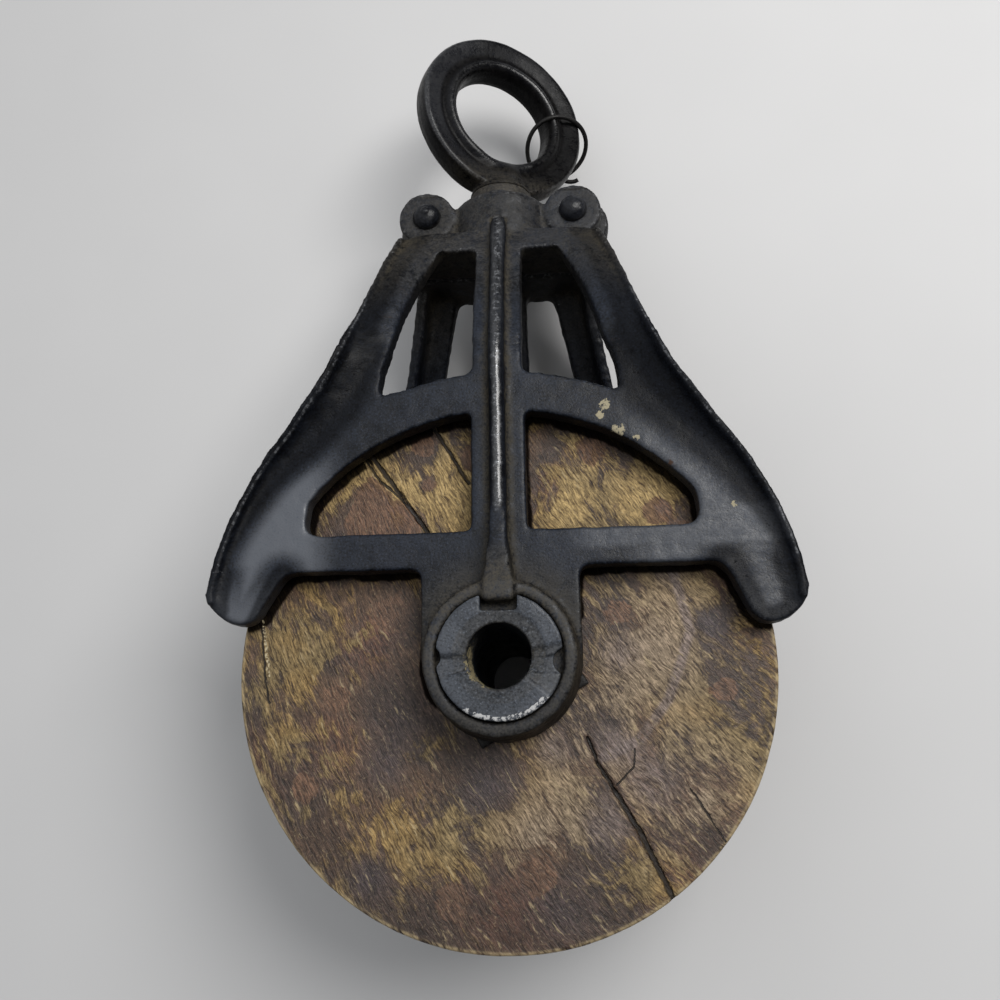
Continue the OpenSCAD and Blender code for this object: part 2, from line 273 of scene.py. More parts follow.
def outline(name, points):
    """A mesh of bare points, the section or the path that a tree works on."""
    mesh = bpy.data.meshes.new(name)
    steps = [(i, i + 1) for i in range(len(points) - 1)]
    mesh.from_pydata([[c * MM for c in (*p, 0.0)[:3]] for p in points], steps, [])
    return mesh


# %% A tree that turns a section round the axis
def turning_tree():
    bench, given = new_tree("turned on the axis", {
        "Segments": ("Int", 96), "Finish": ("Material", None)})
    section = given["Geometry"]
    count = bench.add("GeometryNodeAttributeDomainSize", {"Geometry": section}).outputs[0]
    row = bench.math("ADD", count, 1)
    columns = bench.math("ADD", given["Segments"], 1)
    sheet = bench.add("GeometryNodeMeshGrid", {"Vertices X": columns, "Vertices Y": row})
    index = bench.add("GeometryNodeInputIndex").outputs[0]
    across = bench.math("FLOOR", bench.math("DIVIDE", index, row))
    along = bench.math("MODULO", bench.math("MODULO", index, row), count)
    place = bench.add("GeometryNodeInputPosition").outputs[0]
    at = bench.add("GeometryNodeSampleIndex", {"Geometry": section, "Index": along},
                   data_type="FLOAT_VECTOR")
    bench.tree.links.new(place, at.inputs["Value"])
    part = bench.add("ShaderNodeSeparateXYZ", {0: at.outputs[0]}).outputs
    angle = bench.math("MULTIPLY", bench.math("DIVIDE", across, given["Segments"]), math.tau)
    spun = bench.add("ShaderNodeCombineXYZ", {
        0: bench.math("MULTIPLY", part[0], bench.math("COSINE", angle)),
        1: bench.math("MULTIPLY", part[0], bench.math("SINE", angle)),
        2: part[1]}).outputs[0]
    moved = bench.add("GeometryNodeSetPosition", {"Geometry": sheet.outputs[0], "Position": spun})
    joined = bench.add("GeometryNodeMergeByDistance",
                       {"Geometry": moved.outputs[0], "Distance": 0.002 * MM})
    return ended(bench, joined.outputs[0], given["Finish"])


turned_on_axis = turning_tree()
print("tree:", turned_on_axis.name)

# %% [markdown]
# ## Finishes
# A finish is a small node material. It reads the piece's own Object coordinates, so a pattern
# stays on the piece when it moves, and the marks that the mesh carries: wear on ridges, darker
# creases, dust, rust, painted shade and a painted sheen. Noise at two or three sizes breaks up
# every edge between them.

# %% A recipe for a material
class Recipe(Bench):
    def __init__(self, name):
        self.material = bpy.data.materials.new(name)
        self.material.use_nodes = True
        super().__init__(self.material.node_tree)
        self.shader = self.tree.nodes["Principled BSDF"]
        where = self.add("ShaderNodeTexCoord").outputs["Object"]
        self.mm = self.place(where, scale=(1000, 1000, 1000))

    def place(self, vector, turn=(0, 0, 0), scale=(1, 1, 1), shift=(0, 0, 0)):
        return self.add("ShaderNodeMapping", {"Vector": vector, "Rotation": turn, "Scale": scale,
                                              "Location": shift}).outputs[0]

    def noise(self, size, detail=3.0, fine=0.55, bend=0.0, vector=None):
        inputs = {"Vector": vector or self.mm, "Scale": 1 / size, "Detail": detail,
                  "Roughness": fine, "Distortion": bend}
        return self.add("ShaderNodeTexNoise", inputs).outputs[0]

    def step(self, value, low, high, to_low=0.0, to_high=1.0):
        return self.add("ShaderNodeMapRange", {"Value": value, "From Min": low, "From Max": high,
                                               "To Min": to_low, "To Max": to_high},
                        interpolation_type="SMOOTHSTEP").outputs[0]

    def mark(self, name):
        return self.add("ShaderNodeAttribute", attribute_name=name).outputs["Fac"]

    def blend(self, share, first, second, way="MIX"):
        colours = [(*c, 1.0) if isinstance(c, tuple) else c for c in (first, second)]
        return self.add("ShaderNodeMix", {0: share, 6: colours[0], 7: colours[1]},
                        data_type="RGBA", blend_type=way).outputs[2]

    def mean(self, share, first, second):
        return self.add("ShaderNodeMix", {0: share, 2: first, 3: second}).outputs[0]

    def bump(self, height, depth, under=None):
        """A bump whose height of 1 is depth millimetres."""
        inputs = {"Height": height, "Distance": depth * MM, "Strength": 1.0}
        if under is not None:
            inputs["Normal"] = under
        return self.add("ShaderNodeBump", inputs).outputs[0]

    def done(self, **sockets):
        for name, value in sockets.items():
            name = name.replace("_", " ")
            if isinstance(value, bpy.types.NodeSocket):
                self.tree.links.new(value, self.shader.inputs[name])
            else:
                self.shader.inputs[name].default_value = value
        return self.material


# %% Old iron
DUST = (0.062, 0.053, 0.037)
RUST = (0.04, 0.021, 0.013)
CREAM = (0.36, 0.32, 0.22)
# Near-black for small pits in the skin, and for painted shade where a piece is marked black.
PIT_AND_SHADE_BLACK = (0.0018, 0.0017, 0.002)
WALL_SPAN = 20.0


def old_iron(name, dark, light, bright=(0.3, 0.31, 0.33), dust=DUST, gloss=0.42, lumps=5.0,
             gleam=0.22, painted_sheen=(0.075, 0.083, 0.1), flake=CREAM):
    """Black-painted cast iron: mottled paint, worn ridges, darker creases, dust, a few spots, painted shade and a
    painted sheen.
    """
    r = Recipe(name)
    broad, middle, fine = r.noise(26, 3, 0.6), r.noise(lumps, 5, 0.65), r.noise(1.5, 4, 0.75)
    grain = r.noise(0.6, 2, 0.6)
    paint = r.blend(r.step(r.mean(0.45, broad, middle), 0.38, 0.62), dark, light)
    paint = r.blend(r.step(fine, 0.4, 0.7, 0.0, 0.6), paint, light)
    # A painted sheen: the sheen mark lightens the colour of faces where light catches them.
    paint = r.blend(r.mark("sheen"), paint, painted_sheen)
    pits = r.mean(r.mark("sheen"), r.step(grain, 0.5, 0.32, 0.0, 0.75), 0.1)
    paint = r.blend(pits, paint, PIT_AND_SHADE_BLACK)
    pale = tuple(2.4 * c for c in light)
    paint = r.blend(r.step(grain, 0.55, 0.75, 0.0, 0.6), paint, pale)
    # Painted shade: the black mark turns walls, rail slopes, bores and grooves near-black where shade falls; on the
    # front cheek's rib it is the rib's own black paint.
    black = r.math("MULTIPLY", r.mark("black"), r.step(fine, 0.2, 0.5, 1.0, 0.75))
    paint = r.blend(r.math("MULTIPLY", black, 0.9), paint, PIT_AND_SHADE_BLACK)
    hollow = r.math("MULTIPLY", r.mark("hollow"), r.step(middle, 0.3, 0.6))
    paint = r.blend(r.math("MULTIPLY", hollow, 0.6), paint, (0.006, 0.0055, 0.005))
    film = r.math("MULTIPLY", r.mark("dust"), r.step(r.mean(0.35, fine, middle), 0.34, 0.58))
    film = r.math("MULTIPLY", film, r.step(grain, 0.35, 0.6, 0.4, 1.0))
    paint = r.blend(r.math("MULTIPLY", film, 0.7), paint, dust)
    rust = r.math("MULTIPLY_ADD", r.mark("rust"), 0.8, r.math("MULTIPLY", fine, 0.7))
    rust = r.step(rust, 0.78, 0.95)
    paint = r.blend(rust, paint, RUST)
    ridge = r.math("MULTIPLY", r.math("SUBTRACT", r.mark("wall"), r.mark("ridge")), WALL_SPAN)
    ridge = r.step(r.math("ABSOLUTE", ridge), 0.1, 0.5, 1.0, 0.0)
    ridge = r.math("MULTIPLY", ridge, r.step(r.mark("ridge"), 0.025, 0.04))
    ridge = r.math("MULTIPLY", ridge, r.step(fine, 0.48, 0.66, 0.04, 0.5))
    flecks = r.math("MULTIPLY", r.mark("wear"), r.step(fine, 0.5, 0.66))
    flecks = r.math("MULTIPLY", flecks, r.step(grain, 0.4, 0.6, 0.2, 1.0))
    wear = r.math("MAXIMUM", flecks, ridge)
    paint = r.blend(r.math("MULTIPLY", wear, 0.75), paint, bright)
    nick = r.math("MULTIPLY_ADD", r.mark("nick"), 0.6, r.math("MULTIPLY", fine, 1.2))
    nick = r.step(nick, 1.17, 1.26)
    paint = r.blend(nick, paint, (0.4, 0.4, 0.4))
    chip = r.math("MULTIPLY_ADD", r.mark("chip"), 0.8, r.math("MULTIPLY", fine, 1.6))
    chip = r.step(chip, 1.2, 1.28)
    paint = r.blend(chip, paint, r.blend(grain, flake, tuple(0.55 * c for c in flake)))
    shine = r.step(r.mean(0.5, middle, fine), 0.35, 0.65, gloss - 0.12, gloss + 0.14)
    shine = r.mean(r.math("MULTIPLY", film, 0.8), shine, 0.85)
    shine = r.mean(r.math("MAXIMUM", rust, chip), shine, 0.9)
    shine = r.mean(r.step(black, 0.75, 1.0, 0.0, 0.8), shine, 0.95)
    shine = r.mean(r.math("MULTIPLY", r.mark("polish"), 0.6), shine, 0.12)
    gleam = r.mean(r.mark("sheen"), gleam, 0.5)
    gleam = r.mean(r.math("MAXIMUM", black, hollow), gleam, 0.04)
    gleam = r.mean(r.mark("polish"), gleam, 0.9)
    grit = r.bump(grain, 0.06, r.bump(fine, 0.1, r.bump(middle, 0.12)))
    return r.done(Base_Color=paint, Roughness=shine, Normal=grit, Specular_IOR_Level=gleam,
                  Metallic=r.math("MULTIPLY", wear, 0.5))


cheek_paint = old_iron("black_cast_iron", (0.0022, 0.003, 0.005), (0.012, 0.0155, 0.024))
eye_iron = old_iron("handled_iron", (0.0016, 0.0018, 0.0025), (0.006, 0.0066, 0.0088), gloss=0.3,
                    gleam=0.1, painted_sheen=(0.026, 0.028, 0.034))
dark_head = old_iron("dark_rivet_iron", (0.0025, 0.003, 0.0045), (0.009, 0.01, 0.0135), gloss=0.36)
grey_iron = old_iron("grey_bush_iron", (0.009, 0.009, 0.009), (0.03, 0.028, 0.027), gloss=0.5)
axle_iron = old_iron("worn_axle_iron", (0.011, 0.014, 0.019), (0.05, 0.057, 0.07),
                     bright=(0.42, 0.43, 0.44), gloss=0.38, painted_sheen=(0.058, 0.065, 0.078), flake=(0.22, 0.185, 0.105))
wire_black = old_iron("blackened_wire", (0.003, 0.0028, 0.0027), (0.008, 0.0074, 0.007), gloss=0.5)
print("iron finishes made")


# %% The marks that every iron piece carries
def weathered(mesh, reach=6, depth=0.35):
    """Marks ridges as wear and creases as hollow, from how far smoothing would pull a point."""
    points, normals, edges = points_of(mesh), normals_of(mesh), edges_of(mesh)
    stands = ((points - relaxed(points, edges, reach)) * normals).sum(axis=1) / depth
    stands = relaxed(stands[:, None], edges, 1)[:, 0]
    marked(mesh, "wear", step(stands, 0.35, 1.1))
    marked(mesh, "hollow", step(-stands, 0.12, 0.7))
    return stands


# %% [markdown]
# ## The two cast cheeks
# Each cheek is one sand casting: soft edges, a grainy skin, a raised rail along its outer
# edge that turns into a round bar near the top. The CAD solid has the plan and the levels.
# The copy is remeshed, its rail is raised by a rule that reads the distance to the outer
# wall, and then all of it is smoothed a little and roughened. Wear, dust, painted shade and a
# painted sheen come last, because they follow the finished shape.

# %% Levels that the rules need, from the CAD model
FACE_LEVEL = ([83, 91, 99, 124, 132, 137.5], [33, 31.4, 28.4, 18.2, 14.2, 10.6])
RAIL_AT = [8, 30, 46, 58, 68, 84, 92]
RAIL_RISE = [0.3, 0.6, 1.2, 2.6, 4.2, 4.6, 3.6]
RAIL_SPREAD = [3.5, 4, 4.6, 6.5, 8.5, 11, 12]
# BLACK_LEFT and BLACK_RIGHT are the widths in mm of a band of painted shade along each rail.
BLACK_LEFT = [3.6, 4.2, 7.2, 12, 15, 14, 9]
BLACK_RIGHT = [4, 6, 9.5, 13, 17, 16, 9]
BAR_RISE = 2.4


# %% Distance to the outer wall
def outer_wall(node, side):
    """The walls along a cheek's outer edge, as a tree that finds the nearest point."""
    mesh = merged(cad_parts[node].data.copy())
    points = points_of(mesh) * (1, 1, side)
    faces = []
    for face in mesh.polygons:
        x, y, _ = points[list(face.vertices)].mean(axis=0)
        nx, ny, nz = face.normal
        out = nx * math.copysign(1, x) > 0.5 and (abs(x) > 25 or y > 100) and y < 131
        low = abs(x) > 50 and y < 22
        if abs(nz) < 0.3 and (out or low):
            faces.append(tuple(face.vertices))
    bpy.data.meshes.remove(mesh)
    return BVHTree.FromPolygons([Vector(p) for p in points], faces)


def away_from(tree, points, most):
    return np.array([tree.find_nearest(Vector(p), most)[3] or most
                     if tree.find_nearest(Vector(p), most)[0] is not None else most
                     for p in points])


# %% A cheek
def cast_cheek(name, node, side, voxel, bar_width, left_lift):
    piece = cad_copy(name, node, voxel)
    mesh = piece.data
    edges = edges_of(mesh)
    points = points_of(mesh) * (1, 1, side)
    points[:, 1] += left_lift * (1 - step(points[:, 1], 9, 26)) * step(-points[:, 0], 42, 50)
    face = np.interp(points[:, 1], *FACE_LEVEL)
    y, on_top = points[:, 1], step(points[:, 2], face - 7, face - 0.5)
    beside = (np.abs(points[:, 0]) > 16) & (y < 133) & (points[:, 2] > 5)
    wall = np.full(len(points), WALL_SPAN)
    wall[beside] = away_from(outer_wall(node, side), points[beside], WALL_SPAN)
    spread = np.interp(y, RAIL_AT, RAIL_SPREAD)
    dish = np.interp(y, RAIL_AT, RAIL_RISE) * np.clip(1 - wall / spread, 0, 1) ** 1.5
    bar = BAR_RISE * np.sin(np.pi * np.clip(wall / bar_width, 0, 1))
    high = step(y, 86, 102)
    points[:, 2] += on_top * beside * ((1 - high) * dish + high * bar * (1 - step(y, 118, 130)))
    middle = np.abs(points[:, 0])
    on_rib = (middle < 2.7) * (points[:, 2] > np.maximum(face + 1.6, 13.9)) * step(y, 36, 40)
    on_rib = on_rib * (y < 136.5)
    points[:, 2] -= on_rib * (points[:, 2] > face + 3) * 1.3 * (middle / 2.2) ** 2
    if side > 0:
        points[:, 0] += 1.1 * spot(points, (32.4, 78.5), 11, 0.9)
        points[:, 1] += 2.4 * spot(points, (-33.5, 76.5), 9, 0.9)
    points = relaxed(points, edges, 4)
    put_points(mesh, points * (1, 1, side))
    normals = normals_of(mesh) * (1, 1, side)
    flat = step(normals[:, 2], 0.85, 0.97)
    skin = 0.17 * rough(points, 3.2, 1) + 0.18 * rough(points, 14, 2, 2)
    skin *= 1 - 0.45 * flat * (y < 80)
    inside = (np.hypot(points[:, 0], y) < 17.2) & (points[:, 2] > 20)
    skin *= np.where(inside, 0.1, 1)
    points += normals * skin[:, None]
    put_points(mesh, points * (1, 1, side))
    stands = weathered(mesh)
    # Painted shade: a band along each rail, wider on the right, and the side walls are marked black; the rear cheek
    # gets less. On the rib the black is its own paint.
    band = np.where(points[:, 0] < 0, np.interp(y, RAIL_AT, BLACK_LEFT),
                    np.interp(y, RAIL_AT, BLACK_RIGHT))
    rail = (1 - step(wall, band * 0.75, band * 1.15)) * beside
    walls = step(-normals[:, 2], -0.75, -0.2)
    if side < 0:
        rail, walls = 0.25 * rail, 0.4 * walls
    marked(mesh, "black", np.maximum.reduce([rail, walls, 0.85 * on_rib]))
    marked(mesh, "wall", wall / WALL_SPAN)
    edge_line = np.where(points[:, 0] < 0, 1.6, 0.9) * (y < 104) * (y > 24) * (side > 0)
    marked(mesh, "ridge", edge_line / WALL_SPAN)
    # A painted sheen: lighter colour on the wings, the right end of the cross bar, the hub's upper face and the
    # lower tips, strongest on the left.
    inner = np.where(points[:, 0] < 0, 41, 30)
    wing = step(middle, inner, inner + 12) * (1 - step(y, 66, 80)) * step(wall, band, band + 5)
    wing = np.maximum(wing, step(points[:, 0], 16, 26) * (1 - step(np.abs(y - 33), 4, 6)))
    wing *= np.where(points[:, 0] < 0, 1, 0.4)
    hub_face = (np.hypot(points[:, 0], y) < 18.4) * step(normals[:, 2], 0.8, 0.95)
    wing = np.maximum(wing, 0.17 * hub_face * (points[:, 2] > face + 4) * step(y, -12, 4))
    marked(mesh, "sheen", np.maximum(wing, np.where(points[:, 0] < 0, 0.8, 0.25) * step(y, 26, 12) * step(middle, 43, 50)))
    crest = on_rib * (1 - step(middle, 0.5, 1.5))
    edge_wear = 0.5 * step(stands, 0.15, 0.6) * (y > 120)
    marked(mesh, "wear", np.maximum.reduce([0.7 * step(stands, 0.5, 1.3), crest, edge_wear]))
    marked(mesh, "polish", crest)
    dusty = step(y, 96, 126) * (0.8 + 0.2 * (points[:, 0] < 0))
    dusty *= (middle > 2.6) | (y > 136)
    dusty *= 0.55 + 0.45 * step(-stands, -0.08, 0.3)
    from_axle = np.hypot(points[:, 0], y)
    near_hub = (1 - step(from_axle, 20, 30)) * np.where(points[:, 2] > face + 4, 1.0, 0.8)
    near_hub *= 0.65 + 0.35 * step(y, -10, 6)
    by_rib = (1 - step(middle, 3, 8)) * (y > 20) * step(-stands, 0, 0.3)
    marked(mesh, "dust", np.maximum.reduce([dusty, near_hub, by_rib]))
    # Painted shade: a thin ring where the washer sits on the collar is added to the dark creases.
    joint = (y > 148.3) & (y < 149.3) & (np.hypot(points[:, 0], points[:, 2]) > 9.4)
    marked(mesh, "hollow", np.maximum(step(-stands, 0.12, 0.7), joint))
    return piece, points, normals, stands


front_cheek, front_points, front_normals, front_stands = cast_cheek(
    "front_casting", "front_cheek", 1, 0.7, 13.0, 2.8)
rear_cheek, rear_points = cast_cheek("rear_casting", "rear_cheek", -1, 0.85, 11.0, 0.0)[:2]
proud = step(rear_points[:, 0], 22, 30) * step(rear_points[:, 1], 131, 136)
put_points(rear_cheek.data, (rear_points + proud[:, None] * (1.6, 0.8, 0)) * (1, 1, -1))

# %% Rust and chips on the front cheek
RUSTY = [((32.6, 85.2), 3.0), ((44.2, 51.0), 2.6), ((46.0, 49.0), 2.2), ((56, 14), 3.0),
         ((-26.5, 108), 4.5), ((-29.5, 96), 5.0)]
CHIPPED = [((60.7, 38.0), 1.4), ((28.9, 66.8), 2.4), ((32.0, 59.6), 2.9), ((27.3, 63.8), 1.8),
           ((36.8, 57.2), 1.5)]
rust = sum(spot(front_points, at, size) for at, size in RUSTY) * (front_normals[:, 2] > 0.3)
marked(front_cheek.data, "rust", rust * 0.5)
chips = sum(spot(front_points, at, size) for at, size in CHIPPED)
marked(front_cheek.data, "chip", 0.72 * chips * (front_normals[:, 2] > 0.2))
for piece, node in ((front_cheek, "front_cheek"), (rear_cheek, "rear_cheek")):
    piece.data.materials.append(cheek_paint)
    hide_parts(node)
    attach(piece, "frame")

# %% [markdown]
# ## The hollow axle
# The axle is a tube with a notched flange at the front and a ring on its rear end. The
# flange's face isn't flat: two shallow channels cross it and leave three pads, and years of
# knocks have left bright nicks along its lower edge.

# %% The axle
axle = cad_copy("hollow_axle", "axle", 0.42)
points = points_of(axle.data)
edges = edges_of(axle.data)
points = relaxed(points, edges, 2)
radius = np.hypot(points[:, 0], points[:, 1])
angle = np.degrees(np.arctan2(points[:, 1], points[:, 0]))
front = step(points[:, 2], 40.6, 41.6)
left = (step(angle, 176, 180) + step(-angle, 156, 160)) * (radius > 8)
right = step(angle, -40, -36) * (1 - step(angle, 8, 13))
lowered = front * np.maximum(0.75 * right, 0.6 * np.clip(left, 0, 1)) * (radius > 8.2)
lowered += front * 0.3 * (radius < 11.2) * (points[:, 1] > 0)
points[:, 2] -= lowered
points = relaxed(points, edges, 1)
put_points(axle.data, points)
normals = normals_of(axle.data)
crust = spot(points, (-6.6, -4.6, 34), 13) * (radius < 8.8)
skin = 0.05 * rough(points, 1.6, 5) + 0.12 * rough(points, 7, 6, 2)
points += normals * (skin + crust * 0.5 * rough(points, 1.1, 7))[:, None]
put_points(axle.data, points)
stands = weathered(axle.data, 4, 0.2)
nicked = front * (radius > 14.2) * np.interp(angle, [-150, -120, -45, -20, 20, 60, 75], [
    0, 1, 1, 0, 0.2, 0.6, 0])
marked(axle.data, "wear", step(stands, 0.35, 1.1))
marked(axle.data, "nick", nicked)
marked(axle.data, "chip", 0.7 * crust)
# A painted sheen lightens the flange's face, and the bore is marked black: painted shade inside the tube.
marked(axle.data, "sheen", front * 0.3 * step(radius, 9.5, 13.5))
marked(axle.data, "dust", crust + 0.3 * front * (radius < 11.4) + 0.5 * lowered)
marked(axle.data, "black", (radius < 8.3) * (1 - crust) * 0.9)
axle.data.materials.append(axle_iron)

# %% The ring on the axle's rear end
rear_ring = cad_copy("rear_ring", "axle_ring", 0.5)
points = relaxed(points_of(rear_ring.data), edges_of(rear_ring.data), 2)
put_points(rear_ring.data, points)
weathered(rear_ring.data, 4, 0.2)
rear_ring.data.materials.append(axle_iron)
for piece, node in ((axle, "axle"), (rear_ring, "axle_ring")):
    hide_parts(node)
    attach(piece, "frame")

# %% [markdown]
# ## The wooden wheel
# The wheel was turned on a lathe, and it is made the same way here. Python draws its section
# as a row of points, close together on the front face where cracks and grain will need them,
# and the tree turns that section round the axle. The weather comes afterwards.

# %% The wheel's section
WHEEL_R, WHEEL_HALF, WHEEL_BORE, LIP = 70.0, 24.0, 14.1, 0.9
GROOVE, RIM_FLAT = 9.0, 5.0


def arc(centre, radius, start, end, steps):
    turns = np.radians(np.linspace(start, end, steps + 1))
    return [(centre[0] + radius * math.cos(t), centre[1] + radius * math.sin(t)) for t in turns]


def wheel_section():
    half = WHEEL_HALF - RIM_FLAT
    hollow = (half ** 2 + GROOVE ** 2) / (2 * GROOVE)
    swing = math.degrees(math.asin(half / hollow))
    face = [(r, WHEEL_HALF) for r in np.arange(WHEEL_BORE, WHEEL_R - LIP, 0.72)]
    front_lip = arc((WHEEL_R - LIP, WHEEL_HALF - LIP), LIP, 90, 0, 7)
    groove = arc((WHEEL_R - GROOVE + hollow, 0), hollow, 180 - swing, 180 + swing, 26)
    rear_lip = arc((WHEEL_R - LIP, LIP - WHEEL_HALF), LIP, 0, -90, 5)
    back = [(r, -WHEEL_HALF) for r in np.linspace(WHEEL_R - LIP - 2.5, WHEEL_BORE, 22)]
    bore = [(WHEEL_BORE, z) for z in np.linspace(-WHEEL_HALF + 3, WHEEL_HALF - 3, 12)]
    return face + front_lip + groove + rear_lip + back + bore


section = wheel_section()
print("wheel section:", len(section), "points")

# %% [markdown]
# ## Weathered wood
# The face shows side grain that runs from the upper left to the lower right. Ragged tan
# fibres stand in patches over a dark brown, purplish ground, with darker stains and a few
# long cracks. Every pattern is stretched along the grain, so the coordinates are turned to
# the grain first. A crack is a line that the builder lays down, and a small node group
# measures how far a point is from such a line.

# %% How far a point lies from a line
def line_group():
    tree = bpy.data.node_groups.new("distance to a line", "ShaderNodeTree")
    for label in ("Point", "From", "To"):
        tree.interface.new_socket(label, in_out="INPUT", socket_type="NodeSocketVector")
    tree.interface.new_socket("Distance", in_out="OUTPUT", socket_type="NodeSocketFloat")
    bench = Bench(tree)
    given = bench.add("NodeGroupInput").outputs

    def vector(operation, a, b=(0, 0, 0), out=0):
        node = bench.add("ShaderNodeVectorMath", {0: a, 1: b}, operation=operation)
        return node.outputs[out]

    along = vector("SUBTRACT", given["To"], given["From"])
    from_start = vector("SUBTRACT", given["Point"], given["From"])
    share = bench.math("DIVIDE", vector("DOT_PRODUCT", from_start, along, out=1),
                       vector("DOT_PRODUCT", along, along, out=1))
    share = bench.add("ShaderNodeClamp", {0: share}).outputs[0]
    foot = bench.add("ShaderNodeVectorMath", {0: along, 3: share}, operation="SCALE").outputs[0]
    bench.add("NodeGroupOutput", {0: vector("LENGTH", vector("SUBTRACT", from_start, foot),
                                            out=1)})
    return tree


line_distance = line_group()
CRACKS = [  # half width in mm, then the points it runs through
    (0.55, [(27.0, -32.2), (32.7, -42.0), (39.8, -57.1), (42.6, -62.0)]),
    (0.34, [(20.9, -19.4), (23.2, -25.8), (27.0, -32.2)]),
    (0.18, [(45.8, -32.1), (53.3, -44.5)]),
    (0.16, [(32.6, -22.3), (32.1, -26.6), (27.7, -30.9)]),
    (0.5, [(-36.6, 58.6), (-27.5, 45.9), (-20.1, 35.3)]),
    (0.2, [(-65.2, 13.5), (-64.2, 5.0), (-63.2, -3.0), (-61.8, -9.0)]),
    (0.28, [(-38.4, 57.6), (-33.6, 50.6), (-26.6, 44.4)]),
    (0.4, [(-18.8, 65.6), (-13.2, 56.5), (-9.0, 49.0)]),
]

# %% The wood
OCHRE, OLIVE, GREY_TAN = (0.19, 0.125, 0.048), (0.15, 0.108, 0.05), (0.19, 0.145, 0.1)
GOLD, MAUVE, PALE_FIBRE = (0.27, 0.19, 0.08), (0.14, 0.11, 0.1), (0.42, 0.33, 0.19)
BROWN, UMBER, RED_BROWN = (0.078, 0.045, 0.026), (0.044, 0.028, 0.021), (0.1, 0.042, 0.025)
PLUM, DARK_PORE = (0.037, 0.028, 0.031), (0.022, 0.014, 0.01)
CHESTNUT = (0.105, 0.056, 0.032)
GRAIN_TURN, GRAIN_LEAN = math.radians(58), math.radians(-8) / WHEEL_R
RIBBON = [(45.1, 22.0), (48.3, 7.1), (45.1, -2.0), (41.6, -10.4), (33.9, -20.1), (24, -24.5)]
SHADOW_GAP_SPAN = 8.0
CREAM_LINE = [(-64.6, 12.5), (-63.4, 5.5), (-62.4, -2.0)]


def near_path(r, point, path):
    """The distance from a point to a path on the wheel's front face."""
    nearest = None
    for start, end in zip(path, path[1:]):
        gap = r.add("ShaderNodeGroup", {}, node_tree=line_distance)
        for key, value in (("From", (*start, WHEEL_HALF)), ("To", (*end, WHEEL_HALF))):
            gap.inputs[key].default_value = value
        r.tree.links.new(point, gap.inputs["Point"])
        away = gap.outputs[0]
        nearest = away if nearest is None else r.math("MINIMUM", nearest, away)
    return nearest


